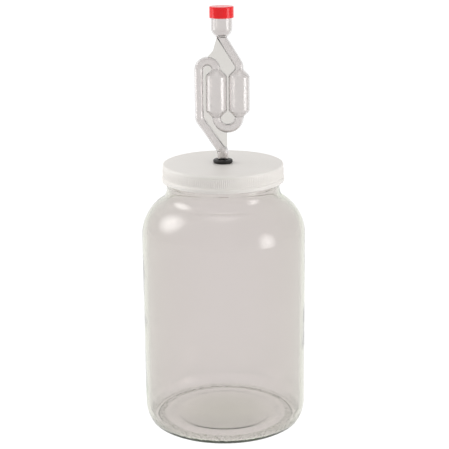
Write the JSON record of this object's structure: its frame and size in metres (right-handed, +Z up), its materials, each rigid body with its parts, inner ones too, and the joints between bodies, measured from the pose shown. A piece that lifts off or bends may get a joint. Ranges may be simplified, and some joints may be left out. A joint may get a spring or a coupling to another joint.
{
  "type": "fermentation jar with airlock",
  "caption": "Clear glass wide-mouth fermentation jar with a ribbed white screw lid, a rubber grommet and a twin-bubble airlock with a red cap.",
  "frame": {"origin": "middle of the jar's standing ring, on the surface that it stands on", "axes": "+Z up along the jar's axis; +X to the right of the view that shows the airlock's two bubbles side by side, so the airlock lies in the XZ plane"},
  "size_m": [0.154, 0.154, 0.3965],
  "materials": {
    "jar_glass": "clear, smooth",
    "liner_foam": "matte foam",
    "lid_plastic": "satin",
    "grommet_rubber": "satin",
    "airlock_plastic": "clear, smooth",
    "cap_plastic": "gloss"
  },
  "bodies": {
    "jar": {"jar_body": "jar_glass", "jar_neck": "jar_glass"},
    "liner": {"liner": "liner_foam"},
    "lid": {"lid": "lid_plastic"},
    "grommet": {"grommet": "grommet_rubber"},
    "airlock": {"airlock_stem": "airlock_plastic", "airlock_body": "airlock_plastic", "airlock_cup": "airlock_plastic"},
    "cap": {"airlock_cap": "cap_plastic"}
  },
  "joints": [
    {"name": "lid_lift", "type": "slide", "parent": "jar", "child": "liner", "axis": [0, 0, 1], "range_m": [0, 0.01525]},
    {"name": "lid_turn", "type": "hinge", "parent": "liner", "child": "lid", "pos_m": [0, 0, 0.25], "axis": [0, 0, 1], "range_deg": [0, 1080]},
    {"name": "airlock_turn", "type": "hinge", "parent": "lid", "child": "grommet", "pos_m": [0, 0, 0.252], "axis": [0, 0, 1], "continuous": true},
    {"name": "airlock_pull", "type": "slide", "parent": "grommet", "child": "airlock", "axis": [0, 0, 1], "range_m": [0, 0.031]},
    {"name": "cap_pull", "type": "slide", "parent": "airlock", "child": "cap", "axis": [0, 0, 1], "range_m": [0, 0.012]}
  ],
  "couplings": [
    {"joint": "lid_lift", "follows": "lid_turn", "m_per_rad": 0.00080851}
  ]
}
